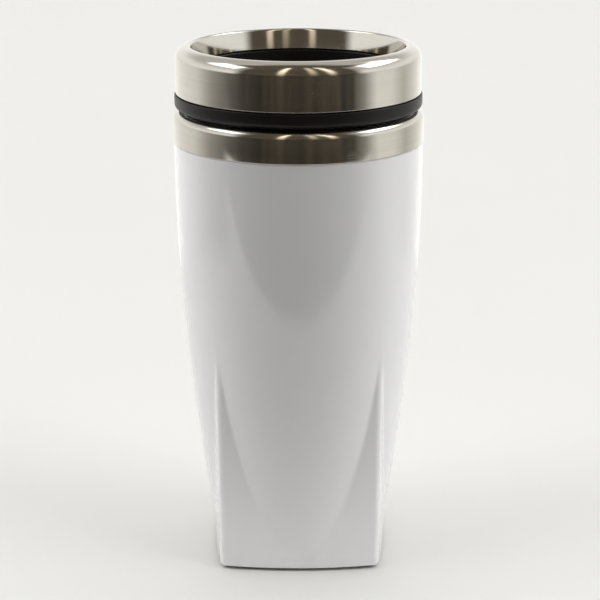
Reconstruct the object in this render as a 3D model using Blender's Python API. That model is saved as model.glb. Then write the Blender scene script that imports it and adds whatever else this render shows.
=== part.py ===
"""Insulated travel mug: steel liner in a white shell, with a push-on slider lid.

The shell turns from a round top into a square foot.  The origin is under the middle
of the foot, +Z is up, and the drinking hole is on the -Y side.  All dimensions are in
millimetres, and MM turns them into the metres of the meshes.
"""
import math

import bmesh
import bpy

MM = 0.001
SEGMENTS = 48            # steps round every turned piece
GAP = 0.3                # between pieces that touch

# Outer shell
SHELL_BOTTOM = 0.8
SHELL_WALL = 2.4
BELLY_TOP = 140.0        # above this height the shell is a straight cylinder
BELLY_RADIUS = 41.75
BELLY_TAPER = 13.4       # how much narrower the round body is at the floor
BELLY_POWER = 1.95
FOOT_HALF = 26.9         # half the square foot, at the floor
FOOT_DRAFT = 0.012       # growth of that half width for each mm of height
FOOT_BULGE = 2.6         # how far each face bows out at its middle
FOOT_CORNER = 2.6
FOOT_TOP = 105.0         # by here the square is buried in the round body
FOOT_CHAMFER = 0.9
TONGUE_RADIUS = 40.6     # the shell's top, which carries the collar
TONGUE_TOP = 150.6

# Steel collar, liner and their seal
COLLAR_RADIUS = 42.0
COLLAR_BOTTOM = 145.2
COLLAR_TOP = 155.6
COLLAR_SHOULDER = 2.5
COLLAR_LIP = 39.4        # inner edge of the turned-in top
SEAL_THICK = 1.4
LINER_WALL = 0.8
LINER_SPACING = 6.0      # from the shell's outside to the liner's inside
LINER_FLOOR = 9.0
LINER_KNEE = 5.0         # radius where the floor turns up into the wall
NECK_RADIUS = 37.5       # inside the liner's neck, which takes the lid
NECK_BOTTOM = 136.0
NECK_BLEND = 7.0
BEAD_RADIUS = 39.1

# Foot
CAP_THICK = 2.4
PAD_INSET = 1.1
PAD_LIP = 0.5
PAD_THICK = 1.5

# Lid
FLANGE_RADIUS = 41.4
FLANGE_BOTTOM = 156.4
FLANGE_TOP = 161.2
SKIRT_RADIUS = 36.4
SKIRT_WALL = 2.2
SKIRT_BOTTOM = 143.0
GROOVE_BOTTOM = 145.6
GROOVE_TOP = 151.6
GROOVE_DEPTH = 1.2
DECK_TOP = 165.0
DECK_THICK = 2.2
RECESS_RADIUS = 33.4
STEP_TOP = 170.0         # ledge that the steel ring's inner edge rests on
RING_RADIUS = 41.0
RING_SHEET = 0.8
RING_TOP = 177.2
RING_SHOULDER = 4.4
RING_BORE = 34.4
RING_FLARE = 1.4         # how much wider the bore is at the crest than at its lower end
HOOP_BORE = 36.4
HOOP_RADIUS = 37.7       # outside of the wall that backs the ring's bore
HOOP_TOP = 173.5

# Drinking hole, vent and slider
HOLE_MIDDLE = 26.4       # distance of the drinking hole from the mug's axis
HOLE_WIDTH = 5.6
HOLE_SPREAD = 14.0       # half the hole's angle round the mug's axis
VENT_RADIUS = 1.3
VENT_PLACE = 27.5
PLATE_HALF = 10.5
PLATE_FRONT = 32.0       # radius of its curved front edge
PLATE_REAR = 3.0
PLATE_THICK = 2.8
PAD_MARGIN = 1.7         # slide seal beyond the drinking hole
SEAT_DEPTH = 1.5         # slide seal's own thickness
THUMB_FRONT = -15.0
THUMB_REAR = 0.5
THUMB_HALF = 7.5
THUMB_HEIGHT = 1.6
RIDGE_COUNT = 4
RIDGE_PITCH = 3.4
RIDGE_WIDTH = 1.3
RIDGE_HEIGHT = 1.2
POST_PLACE = -16.5
POST_HALF_X = 2.0
POST_HALF_Y = 2.2
CLIP_HALF = 6.0
CLIP_THICK = 1.4
SLIDER_TRAVEL = 14.5
RAIL_GAP = 0.4
RAIL_WIDTH = 1.6
RAIL_HEIGHT = 1.6
RAIL_FRONT = -22.0


def clear_scene():
    """Remove whatever the open scene holds."""
    for old in list(bpy.data.objects):
        bpy.data.objects.remove(old, do_unlink=True)


def make_material(name, color, roughness, metallic=0.0):
    """Return a Principled material."""
    material = bpy.data.materials.new(name)
    material.use_nodes = True
    shader = material.node_tree.nodes["Principled BSDF"]
    shader.inputs["Base Color"].default_value = (*color, 1.0)
    shader.inputs["Roughness"].default_value = roughness
    shader.inputs["Metallic"].default_value = metallic
    return material


def finish_mesh(name, mesh_data, material, crease_degrees=32.0):
    """Turn a bmesh in millimetres into an object in metres, with smooth round sides."""
    bmesh.ops.remove_doubles(mesh_data, verts=mesh_data.verts, dist=0.001)
    bmesh.ops.recalc_face_normals(mesh_data, faces=mesh_data.faces)
    bmesh.ops.scale(mesh_data, vec=(MM, MM, MM), verts=mesh_data.verts)
    mesh = bpy.data.meshes.new(name)
    mesh_data.to_mesh(mesh)
    mesh_data.free()
    mesh.shade_smooth()
    mesh.set_sharp_from_angle(angle=math.radians(crease_degrees))
    mesh.materials.append(material)
    piece = bpy.data.objects.new(name, mesh)
    bpy.context.scene.collection.objects.link(piece)
    return piece


def arc(middle_r, middle_z, radius_r, radius_z, start, end, steps):
    """Points on an elliptic arc in the (r, z) plane, from start to end degrees."""
    points = []
    for step in range(steps + 1):
        angle = math.radians(start + (end - start) * step / steps)
        points.append((middle_r + radius_r * math.cos(angle), middle_z + radius_z * math.sin(angle)))
    return points


def turned(name, outline, material):
    """Spin a closed (r, z) outline once round the Z axis."""
    mesh_data = bmesh.new()
    corners = [mesh_data.verts.new((r, 0.0, z)) for r, z in outline]
    edges = []
    for first, second in zip(corners, corners[1:] + corners[:1]):
        on_axis = first.co.x == 0.0 and second.co.x == 0.0
        if not on_axis:
            edges.append(mesh_data.edges.new((first, second)))
    bmesh.ops.spin(mesh_data, geom=corners + edges, cent=(0, 0, 0), axis=(0, 0, 1),
                   angle=math.tau, steps=SEGMENTS, use_merge=True)
    return finish_mesh(name, mesh_data, material)


def lofted(name, outlines, material, crease_degrees=32.0):
    """Join equal closed outlines, given as (height, [(x, y), ...]), and cap both ends."""
    mesh_data = bmesh.new()
    rings = [[mesh_data.verts.new((x, y, height)) for x, y in outline] for height, outline in outlines]
    for lower, upper in zip(rings, rings[1:]):
        for index in range(len(lower)):
            after = (index + 1) % len(lower)
            mesh_data.faces.new((lower[index], lower[after], upper[after], upper[index]))
    mesh_data.faces.new(list(reversed(rings[0])))
    mesh_data.faces.new(rings[-1])
    return finish_mesh(name, mesh_data, material, crease_degrees)


def box(name, low, high, material):
    """A plain block between two corners."""
    outline = [(low[0], low[1]), (high[0], low[1]), (high[0], high[1]), (low[0], high[1])]
    return lofted(name, [(low[2], outline), (high[2], outline)], material)


def combine(piece, tool, operation):
    """Cut the hidden tool from the piece, or add it, with an exact Boolean."""
    modifier = piece.modifiers.new(tool.name, "BOOLEAN")
    modifier.operation = operation
    modifier.solver = "EXACT"
    modifier.object = tool
    tool.hide_render = True
    tool.hide_set(True)
    tool.display_type = "WIRE"


def hold(pieces, pivot_name, place):
    """Parent pieces to an empty on their joint's axis without moving them."""
    pivot = bpy.data.objects.new(pivot_name, None)
    pivot.location = [value * MM for value in place]
    bpy.context.scene.collection.objects.link(pivot)
    bpy.context.view_layer.update()
    for piece in pieces:
        piece.parent = pivot
        piece.matrix_parent_inverse = pivot.matrix_world.inverted()
    return pivot


def belly(height):
    """Radius of the round body at a height: wide at the top, drawn in to the foot."""
    depth = max(0.0, 1.0 - height / BELLY_TOP)
    return BELLY_RADIUS - BELLY_TAPER * depth ** BELLY_POWER


def rounded_square(half, bulge, corner, face_steps=10, corner_steps=3):
    """Outline of a square with gently bowed faces and round corners.

    Each face is an arc of radius face_radius.  The corner arcs are tangent to it, and
    their middles lie on the diagonals, corner_place out along both axes.
    """
    face_radius = (half ** 2 + bulge ** 2) / (2.0 * bulge)
    setback = face_radius - half - bulge
    reach = 2.0 * (face_radius - corner) ** 2 - setback ** 2
    corner_place = (math.sqrt(reach) - setback) / 2.0
    turn = math.atan2(corner_place, corner_place + setback)
    side = []
    for step in range(face_steps + 1):
        angle = turn * (2.0 * step / face_steps - 1.0)
        side.append((face_radius * math.sin(angle), setback - face_radius * math.cos(angle)))
    for step in range(1, corner_steps):
        angle = turn + (math.pi / 2.0 - 2.0 * turn) * step / corner_steps
        side.append((corner_place + corner * math.sin(angle), -corner_place - corner * math.cos(angle)))
    outline = []
    for quarter in range(4):
        cosine = round(math.cos(quarter * math.pi / 2.0))
        sine = round(math.sin(quarter * math.pi / 2.0))
        outline += [(x * cosine - y * sine, x * sine + y * cosine) for x, y in side]
    return outline


def foot_outline(height, inset):
    """The square foot's outline at a height, moved inwards by inset."""
    half = FOOT_HALF + FOOT_DRAFT * height - inset
    return rounded_square(half, FOOT_BULGE, max(1.0, FOOT_CORNER - inset))


def heights(low, high, count):
    """Evenly spaced heights, ends included."""
    return [low + (high - low) * step / count for step in range(count + 1)]


def make_shell(white):
    """Round body and square foot in one shell, open at the top and under the foot."""
    rise = heights(SHELL_BOTTOM + FOOT_CHAMFER, BELLY_TOP, 10)
    outside = [(0.0, rise[0])] + [(belly(height), height) for height in rise]
    outside += [(BELLY_RADIUS, COLLAR_BOTTOM - GAP), (TONGUE_RADIUS, COLLAR_BOTTOM - GAP)]
    outside += [(TONGUE_RADIUS, TONGUE_TOP), (0.0, TONGUE_TOP)]
    shell = turned("outer_shell", outside, white)
    foot_rise = [(SHELL_BOTTOM, FOOT_CHAMFER * 0.8), (SHELL_BOTTOM + FOOT_CHAMFER, 0.0), (FOOT_TOP, 0.0)]
    foot = lofted("shell_foot", [(z, foot_outline(z, inset)) for z, inset in foot_rise], white)
    combine(shell, foot, "UNION")

    hollow_rise = heights(-5.0, BELLY_TOP, 7)
    inside = [(0.0, hollow_rise[0])] + [(belly(height) - SHELL_WALL, height) for height in hollow_rise]
    inside += [(BELLY_RADIUS - SHELL_WALL, TONGUE_TOP + 5.0), (0.0, TONGUE_TOP + 5.0)]
    hollow = turned("shell_hollow", inside, white)
    combine(shell, hollow, "DIFFERENCE")
    foot_hollow_rise = [-6.0, FOOT_TOP - 8.0]
    foot_hollow = lofted("foot_hollow", [(z, foot_outline(z, SHELL_WALL)) for z in foot_hollow_rise], white)
    combine(shell, foot_hollow, "DIFFERENCE")
    return shell


def make_collar(steel):
    """Steel band round the shell's top, with a rounded shoulder turned in over it."""
    middle_r = COLLAR_RADIUS - COLLAR_SHOULDER
    middle_z = COLLAR_TOP - COLLAR_SHOULDER
    ledge = TONGUE_TOP + GAP + SEAL_THICK + GAP
    outline = [(TONGUE_RADIUS + GAP, COLLAR_BOTTOM), (COLLAR_RADIUS - 0.3, COLLAR_BOTTOM)]
    outline += [(COLLAR_RADIUS, COLLAR_BOTTOM + 0.3)]
    outline += arc(middle_r, middle_z, COLLAR_SHOULDER, COLLAR_SHOULDER, 0.0, 90.0, 5)
    outline += [(COLLAR_LIP, ledge), (TONGUE_RADIUS + GAP, ledge)]
    return turned("steel_collar", outline, steel)


def liner_bore(height):
    """Inside radius of the liner: it follows the shell, then opens into the neck."""
    follow = belly(height) - LINER_SPACING
    blend_start = NECK_BOTTOM - NECK_BLEND
    share = min(1.0, max(0.0, (height - blend_start) / NECK_BLEND))
    return follow + (NECK_RADIUS - follow) * share


def make_liner(steel):
    """Drawn steel cup that holds the drink, with a rolled bead at its mouth."""
    bead_radius = (BEAD_RADIUS - NECK_RADIUS) / 2.0
    bead_middle = NECK_RADIUS + bead_radius
    bead_bottom = TONGUE_TOP + GAP + SEAL_THICK + GAP
    wall_rise = heights(LINER_FLOOR + LINER_KNEE, NECK_BOTTOM - NECK_BLEND, 6) + [NECK_BOTTOM]
    knee_r = liner_bore(wall_rise[0]) - LINER_KNEE
    inside = [(0.0, LINER_FLOOR)]
    inside += arc(knee_r, wall_rise[0], LINER_KNEE, LINER_KNEE, -90.0, 0.0, 3)
    inside += [(liner_bore(height), height) for height in wall_rise[1:]]
    bead = arc(bead_middle, COLLAR_TOP - bead_radius, bead_radius, bead_radius, 180.0, 0.0, 4)
    bead += [(BEAD_RADIUS, bead_bottom), (NECK_RADIUS + LINER_WALL, bead_bottom)]
    outside = [(liner_bore(height) + LINER_WALL, height) for height in reversed(wall_rise[1:])]
    outer_knee = LINER_KNEE + LINER_WALL
    outside += arc(knee_r, wall_rise[0], outer_knee, outer_knee, 0.0, -90.0, 3)
    outside += [(0.0, LINER_FLOOR - LINER_WALL)]
    return turned("inner_liner", inside + bead + outside, steel)


def make_liner_seal(silicone):
    """Flat ring between the shell's top, the collar and the liner's bead."""
    bottom = TONGUE_TOP + GAP
    inner = NECK_RADIUS + LINER_WALL + GAP
    outline = [(inner, bottom), (TONGUE_RADIUS, bottom)]
    outline += [(TONGUE_RADIUS, bottom + SEAL_THICK), (inner, bottom + SEAL_THICK)]
    return turned("liner_seal", outline, silicone)


def make_foot_pieces(white, rubber):
    """Cap that closes the shell from below, and the non-slip pad that covers it."""
    inset = SHELL_WALL + GAP
    cap_bottom = PAD_THICK + GAP
    cap_rise = [cap_bottom, cap_bottom + CAP_THICK]
    lofted("base_cap", [(z, foot_outline(z, inset)) for z in cap_rise], white)
    pad_rise = [(0.0, PAD_INSET + 0.3), (0.2, PAD_INSET), (PAD_LIP, PAD_INSET), (PAD_LIP, inset)]
    pad_rise += [(PAD_THICK, inset)]
    lofted("base_pad", [(z, foot_outline(0.0, rim)) for z, rim in pad_rise], rubber)


def make_lid_body(black):
    """Flange, plug skirt, recessed deck and the hoop that carries the steel ring."""
    flange_round = 1.6
    skirt_bore = SKIRT_RADIUS - SKIRT_WALL
    groove_r = SKIRT_RADIUS - GROOVE_DEPTH
    seat = COLLAR_TOP + GAP
    outline = [(0.0, DECK_TOP), (RECESS_RADIUS - 1.2, DECK_TOP), (RECESS_RADIUS, DECK_TOP + 1.2)]
    outline += [(RECESS_RADIUS, STEP_TOP), (HOOP_BORE, STEP_TOP)]
    outline += [(HOOP_BORE, HOOP_TOP), (HOOP_RADIUS, HOOP_TOP), (HOOP_RADIUS, FLANGE_TOP)]
    outline += [(FLANGE_RADIUS - 0.4, FLANGE_TOP), (FLANGE_RADIUS, FLANGE_TOP - 0.4)]
    outline += arc(FLANGE_RADIUS - flange_round, FLANGE_BOTTOM + flange_round,
                   flange_round, flange_round, 0.0, -90.0, 3)
    outline += [(COLLAR_LIP, seat), (SKIRT_RADIUS, seat)]
    outline += [(SKIRT_RADIUS, GROOVE_TOP), (groove_r, GROOVE_TOP)]
    outline += [(groove_r, GROOVE_BOTTOM), (SKIRT_RADIUS, GROOVE_BOTTOM)]
    outline += [(SKIRT_RADIUS, SKIRT_BOTTOM + 0.8), (SKIRT_RADIUS - 0.8, SKIRT_BOTTOM)]
    outline += [(skirt_bore, SKIRT_BOTTOM), (skirt_bore, FLANGE_BOTTOM + 1.0)]
    outline += [(RECESS_RADIUS - 3.0, DECK_TOP - DECK_THICK), (0.0, DECK_TOP - DECK_THICK)]
    lid = turned("lid_body", outline, black)
    combine(lid, curved_slot("drinking_hole", 0.0, DECK_TOP - 9.0, DECK_TOP + 9.0, black), "DIFFERENCE")
    combine(lid, round_rod("vent_hole", VENT_PLACE, VENT_RADIUS, black), "DIFFERENCE")
    low = (-POST_HALF_X - GAP, POST_PLACE - POST_HALF_Y - GAP, DECK_TOP - 9.0)
    high = (POST_HALF_X + GAP, POST_PLACE + POST_HALF_Y + GAP + SLIDER_TRAVEL, DECK_TOP + 9.0)
    combine(lid, box("post_slot", low, high, black), "DIFFERENCE")
    for side, name in ((-1.0, "rail_left"), (1.0, "rail_right")):
        near = side * (PLATE_HALF + RAIL_GAP)
        far = side * (PLATE_HALF + RAIL_GAP + RAIL_WIDTH)
        low = (min(near, far), RAIL_FRONT, DECK_TOP - 0.5)
        high = (max(near, far), PLATE_REAR + SLIDER_TRAVEL, DECK_TOP + RAIL_HEIGHT)
        combine(lid, box(name, low, high, black), "UNION")
    return lid


def curved_slot(name, margin, bottom, top, material, steps=8):
    """Upright block over a round-ended slot that curves about the mug's axis."""
    half_width = HOLE_WIDTH / 2.0 + margin
    spread = math.radians(HOLE_SPREAD)
    outline = []
    for step in range(steps + 1):
        angle = spread * (2.0 * step / steps - 1.0)
        radius = HOLE_MIDDLE + half_width
        outline.append((radius * math.sin(angle), -radius * math.cos(angle)))
    outline += slot_end(spread, half_width, 1.0)
    for step in range(steps + 1):
        angle = spread * (1.0 - 2.0 * step / steps)
        radius = HOLE_MIDDLE - half_width
        outline.append((radius * math.sin(angle), -radius * math.cos(angle)))
    outline += slot_end(spread, half_width, -1.0)
    return lofted(name, [(bottom, outline), (top, outline)], material)


def slot_end(spread, half_width, side, steps=6):
    """Points of the half circle that closes a curved slot, without its two ends."""
    middle_x = side * HOLE_MIDDLE * math.sin(spread)
    middle_y = -HOLE_MIDDLE * math.cos(spread)
    points = []
    for step in range(1, steps):
        turn = math.pi * step / steps
        outward = side * half_width * math.cos(turn)
        along = side * half_width * math.sin(turn)
        angle = side * spread
        x = middle_x + outward * math.sin(angle) + along * math.cos(angle)
        y = middle_y - outward * math.cos(angle) + along * math.sin(angle)
        points.append((x, y))
    return points


def round_rod(name, place, radius, material, steps=16):
    """Upright rod through the deck, at a place on the +Y side."""
    outline = []
    for step in range(steps):
        angle = math.tau * step / steps
        outline.append((radius * math.cos(angle), place + radius * math.sin(angle)))
    return lofted(name, [(DECK_TOP - 9.0, outline), (DECK_TOP + 9.0, outline)], material)


def make_lid_ring(steel):
    """Steel sheet rolled over the lid's rim: outer wall, crest and flared inner wall."""
    crest_r = RING_RADIUS - RING_SHOULDER
    shoulder_z = RING_TOP - RING_SHOULDER
    bottom = FLANGE_TOP + GAP
    inner_end = STEP_TOP + GAP
    mouth_r = RING_BORE + RING_FLARE
    outline = [(RING_RADIUS - RING_SHEET, bottom), (RING_RADIUS, bottom)]
    outline += arc(crest_r, shoulder_z, RING_SHOULDER, RING_SHOULDER, 0.0, 90.0, 5)
    outline += [(mouth_r + 0.1, RING_TOP - 0.4), (mouth_r - 0.25, RING_TOP - 1.4)]
    outline += [(RING_BORE, inner_end), (RING_BORE + RING_SHEET, inner_end)]
    outline += [(mouth_r + 0.4, RING_TOP - 1.8)]
    inner_shoulder = RING_SHOULDER - RING_SHEET
    outline += arc(crest_r, shoulder_z, inner_shoulder, inner_shoulder, 90.0, 0.0, 4)
    return turned("lid_ring", outline, steel)


def make_lid_gasket(silicone):
    """Silicone ring in the skirt's groove, with two ribs that press on the neck."""
    inner = SKIRT_RADIUS - GROOVE_DEPTH + GAP
    body = SKIRT_RADIUS + 0.1
    rib = NECK_RADIUS - GAP
    bottom = GROOVE_BOTTOM + GAP
    top = GROOVE_TOP - GAP
    outline = [(inner, bottom), (body, bottom)]
    for low in (bottom + 0.7, bottom + 3.1):
        outline += [(body, low), (rib, low + 0.6), (rib, low + 1.1), (body, low + 1.6)]
    outline += [(body, top), (inner, top)]
    return turned("lid_gasket", outline, silicone)


def plate_outline(trim, steps=8):
    """Slider plate seen from above: curved front edge, straight sides, clipped rear."""
    half = PLATE_HALF - trim
    front = PLATE_FRONT - trim
    spread = math.asin(half / front)
    rear = PLATE_REAR - trim
    clip = 3.0
    outline = []
    for step in range(steps + 1):
        angle = spread * (2.0 * step / steps - 1.0)
        outline.append((front * math.sin(angle), -front * math.cos(angle)))
    outline += [(half, rear - clip), (half - clip, rear), (clip - half, rear), (-half, rear - clip)]
    return outline


def make_slide_button(black):
    """Slider plate with a ribbed thumb rest, and the snap post that goes through the deck."""
    bottom = DECK_TOP + GAP
    top = bottom + PLATE_THICK
    edge = 0.6
    rise = [(bottom, 0.0), (top - edge, 0.0), (top, edge)]
    button = lofted("slide_button", [(z, plate_outline(trim)) for z, trim in rise], black)
    thumb_low = (-THUMB_HALF, THUMB_FRONT, top - 0.5)
    thumb_high = (THUMB_HALF, THUMB_REAR, top + THUMB_HEIGHT)
    combine(button, box("thumb_rest", thumb_low, thumb_high, black), "UNION")
    middle = (THUMB_FRONT + THUMB_REAR) / 2.0
    for number in range(RIDGE_COUNT):
        place = middle + RIDGE_PITCH * (number - (RIDGE_COUNT - 1) / 2.0)
        low = (0.8 - THUMB_HALF, place - RIDGE_WIDTH / 2.0, top + THUMB_HEIGHT - 0.3)
        high = (THUMB_HALF - 0.8, place + RIDGE_WIDTH / 2.0, top + THUMB_HEIGHT + RIDGE_HEIGHT)
        combine(button, box(f"thumb_ridge_{number + 1}", low, high, black), "UNION")
    clip_bottom = DECK_TOP - DECK_THICK - GAP - CLIP_THICK
    post_low = (-POST_HALF_X, POST_PLACE - POST_HALF_Y, clip_bottom - 1.5)
    post_high = (POST_HALF_X, POST_PLACE + POST_HALF_Y, bottom + 0.5)
    combine(button, box("snap_post", post_low, post_high, black), "UNION")
    head_low = (-POST_HALF_X - 0.9, POST_PLACE - POST_HALF_Y, clip_bottom - 1.5)
    head_high = (POST_HALF_X + 0.9, POST_PLACE + POST_HALF_Y, clip_bottom - GAP)
    combine(button, box("snap_head", head_low, head_high, black), "UNION")
    pocket = curved_slot("seal_pocket", PAD_MARGIN + GAP, bottom - 1.0, bottom + SEAT_DEPTH + GAP, black)
    combine(button, pocket, "DIFFERENCE")
    return button


def make_slide_clip(black):
    """Plate under the deck that the snap post locks, which keeps the slider down."""
    top = DECK_TOP - DECK_THICK - GAP
    low = (-CLIP_HALF, POST_PLACE - CLIP_HALF, top - CLIP_THICK)
    high = (CLIP_HALF, POST_PLACE + CLIP_HALF, top)
    clip = box("slide_clip", low, high, black)
    hole_low = (-POST_HALF_X - GAP, POST_PLACE - POST_HALF_Y - GAP, top - 4.0)
    hole_high = (POST_HALF_X + GAP, POST_PLACE + POST_HALF_Y + GAP, top + 4.0)
    combine(clip, box("clip_hole", hole_low, hole_high, black), "DIFFERENCE")
    return clip


def make_slide_seal(silicone):
    """Soft pad in the slider's pocket, which covers the drinking hole."""
    bottom = DECK_TOP + GAP
    return curved_slot("slide_seal", PAD_MARGIN, bottom, bottom + SEAT_DEPTH, silicone)


def build():
    """Make every piece of the mug and hang the moving ones on their joints."""
    clear_scene()
    white = make_material("white_plastic", (0.82, 0.82, 0.82), 0.18)
    black = make_material("black_plastic", (0.012, 0.012, 0.013), 0.38)
    collar_steel = make_material("collar_steel", (0.58, 0.56, 0.53), 0.24, 1.0)
    lid_steel = make_material("lid_steel", (0.60, 0.58, 0.55), 0.18, 1.0)
    liner_steel = make_material("liner_steel", (0.55, 0.54, 0.52), 0.34, 1.0)
    silicone = make_material("silicone", (0.05, 0.05, 0.05), 0.55)
    rubber = make_material("foot_rubber", (0.02, 0.02, 0.02), 0.8)

    make_shell(white)
    make_collar(collar_steel)
    make_liner(liner_steel)
    make_liner_seal(silicone)
    make_foot_pieces(white, rubber)

    lid_pieces = [make_lid_body(black), make_lid_ring(lid_steel), make_lid_gasket(silicone)]
    lid_pivot = hold(lid_pieces, "lid_axis", (0.0, 0.0, COLLAR_TOP))
    slider_pieces = [make_slide_button(black), make_slide_clip(black), make_slide_seal(silicone)]
    slider_pivot = hold(slider_pieces, "slider_axis", (0.0, POST_PLACE, DECK_TOP))
    slider_pivot.parent = lid_pivot
    slider_pivot.matrix_parent_inverse = lid_pivot.matrix_world.inverted()


build()
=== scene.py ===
"""Looks of the insulated travel mug: fine meshes, materials, floor, light and camera.

Lengths in the outlines are millimetres from the frame's origin, and MM turns them into
metres. Places come from the boxes of the CAD nodes; wall thicknesses, fillets and the
curve of the body are the named values below.
"""
import math

import bpy
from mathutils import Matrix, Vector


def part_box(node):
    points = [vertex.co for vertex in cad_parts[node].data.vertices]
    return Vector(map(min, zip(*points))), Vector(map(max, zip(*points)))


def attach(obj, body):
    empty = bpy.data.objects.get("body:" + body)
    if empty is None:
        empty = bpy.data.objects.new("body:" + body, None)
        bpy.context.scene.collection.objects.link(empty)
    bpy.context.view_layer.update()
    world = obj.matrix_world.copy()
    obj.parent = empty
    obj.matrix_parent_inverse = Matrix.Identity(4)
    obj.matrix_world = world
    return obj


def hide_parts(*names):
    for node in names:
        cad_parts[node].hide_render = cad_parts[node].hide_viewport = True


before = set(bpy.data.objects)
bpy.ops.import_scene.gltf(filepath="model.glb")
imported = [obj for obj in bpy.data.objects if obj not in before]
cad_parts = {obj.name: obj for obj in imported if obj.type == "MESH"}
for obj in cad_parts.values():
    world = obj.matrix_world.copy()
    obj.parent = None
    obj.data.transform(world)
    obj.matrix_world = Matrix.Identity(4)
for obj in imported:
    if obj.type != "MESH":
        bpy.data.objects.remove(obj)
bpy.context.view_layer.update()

MM = 0.001
GAP = 0.3                    # what touching CAD pieces keep between them
AROUND = 256                 # steps round a turned piece
CREASE_DEGREES = 35.0        # edges that turn more than this are shaded sharp
FILLET_REACH = 0.97          # share of an outline's side that one rounding may take
FINE, SMALL, SOFT = 0.1, 0.2, 0.3                      # roundings of small edges

# Shell and its square foot
SHELL_TURNS = 288            # steps round the shell
SHELL_WALL = 2.4
COLLAR_REST = 0.4 * GAP      # from the shell's shoulder to the collar's lower edge
FOOT_LEVEL = 1.0             # from one ring of the skin to the next, over the foot
BODY_LEVEL = 2.0             # and over the round body
LAST_LEVEL = 1.5             # no ring is closer than this to the shoulder
INNER_START = 4.0            # where the inner wall starts, below the shell's top
INNER_LEVELS = 24
SHELL_SHOULDER = 0.35
BELLY_TOP = 140.0
BELLY_TAPER = 13.4
BELLY_POWER = 1.95
FOOT_HALF = 26.9
FOOT_DRAFT = 0.012
FOOT_BULGE = 2.6
FOOT_CORNER = 2.6
FOOT_ROUND = 0.6             # rounding of the foot's bottom edge
FOOT_ROUND_STEPS = 5
SHOULDER_STEPS = 4
SMALLEST_CORNER = 1.0        # of the foot, however far it is inset
CORNER_CROWDING = 0.15       # how strongly points gather at the foot's corners
FOOT_FADE = 104.0            # above this height the body is round only
CREASE_SOFTNESS = 0.2        # how far the foot's arches blend into the round body
CREASE_FADE = 20.0           # height over which that softness ends below FOOT_FADE
PAD_TURNS = 192
PAD_INSET = 1.1
PAD_GROOVE = 0.25            # depth of the grooves under the pad
PAD_RIBS = 6
PAD_FIRST_RIB = 23.0         # inset of the innermost rib from the foot's side
PAD_PITCH = 4.0
PAD_RIB_TOP = 1.0            # half a rib's width at its face
PAD_RIB_ROOT = 1.3           # and at its root
PAD_EDGE = ((0.0, 0.4), (0.1, 0.12), (0.25, 0.0))      # rise and inset of the rounded rim
PAD_LIP = 0.5                # height of the rim outside the shell's wall
PAD_CENTRE = 0.002           # share of the pad's width where its middle closes

# Liner and collar
LINER_WALL = 0.8
LINER_SPACING = 6.0
LINER_KNEE = 5.0
NECK_RADIUS = 37.5
NECK_DEPTH = 19.6            # from the liner's mouth down to the end of its straight neck
NECK_BLEND = 7.0             # height over which the liner opens into its neck
LINER_LEVELS = 44
BEAD_DEPTH = 3.0             # from the liner's mouth down to its bead's lower edge
BEAD_ROUND = 0.75
COLLAR_WALL = 1.1
COLLAR_SHOULDER = 2.5
COLLAR_LIP = 39.4            # inner edge of the turned-in top
COLLAR_LIP_ROUND = 0.45
COLLAR_TUCK = 3.0            # how far that lip reaches below the liner's mouth

# Lid
SKIRT_RADIUS = 36.4
SKIRT_WALL = 2.2
GROOVE_DEPTH = 1.2
GASKET_PROUD = 0.1           # the gasket's body stands out of the skirt by this
GASKET_RIBS = (0.7, 3.1)     # where its two ribs start, above its lower edge
GASKET_RIB = (0.0, 0.6, 1.1, 1.6)                      # a rib's foot, crest, crest and foot
GASKET_CREASE = 60.0
DECK_THICK = 2.2
RECESS_RADIUS = 33.4
FLANGE_HEIGHT = 4.8
RING_SHEET = 0.8
RING_SHOULDER = 4.4
RING_BORE = 34.4
RING_FLARE = 1.4             # how much wider the bore is at the crest than at its lower end
RING_DEPTH = 6.9             # from the crest down to the bore's lower end
RING_CREST = 0.9             # rounding where the ring turns into the bore
RING_SLACK = 0.5             # how much sharper the sheet's inside is at the shoulder
RING_MOUTH_WALL = 0.75       # the sheet, measured level at the crest
RING_STEPS = 10
HOOP_BORE = 36.4             # the wall of the moulding that backs the ring's bore
HOOP_WALL = 1.3
SEAT_STEP = 0.2              # slope of the step under the flange, next to the collar's lip
PLUG_TOP = 1.0               # top of the hollow plug, above the flange's underside
DECK_RUNOUT = 3.0            # width of the slope between the plug's wall and the deck

# Drinking hole, vent and slider
HOLE_MIDDLE = 26.4
HOLE_WIDTH = 5.6
HOLE_SPREAD = 14.0
HOLE_CHAMFER = 0.6
CUT_ABOVE = 6.0              # how far cutters reach past the deck's top
CUT_BELOW = 3.0              # and past its underside
POCKET_MARGIN = 2.0          # how far the seal's pocket reaches past the drinking hole
VENT_PLACE = 27.5
VENT_RADIUS = 1.3
VENT_CHAMFER = 0.4
SLOT_CHAMFER = 0.3
SLOT_CORNER = 0.5
PLATE_FRONT = 32.0
PLATE_CORNER = 1.0           # cut at the ends of the curved front edge
PLATE_CLIP = 3.0             # cut at the rear corners
PLATE_THICK = 2.8
PLATE_EDGE = 0.8
THUMB_HALF = 7.5
THUMB_FRONT = -15.0
THUMB_REAR = 0.5
THUMB_HEIGHT = 1.6
THUMB_CORNER = 2.4
THUMB_ROUND = 0.9
RIDGE_COUNT = 4
RIDGE_PITCH = 3.4
RIDGE_WIDTH = 1.3
RIDGE_HEIGHT = 1.2
RIDGE_INSET = 1.1            # from the thumb rest's side to a ridge's end
RIDGE_CORNER = RIDGE_WIDTH / 2.0 - 0.02                # just under half its width
RIDGE_ROOT = 0.3
RIDGE_CROWN = 0.5
POST_PLACE = -16.5
POST_HALF_X = 2.0
POST_HALF_Y = 2.2
POST_CORNER = 0.4
POST_ROOT = 0.5              # overlap of the post and of the thumb rest with the plate
HEAD_REACH = 0.9             # how far the snap head sticks out past the post
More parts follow.
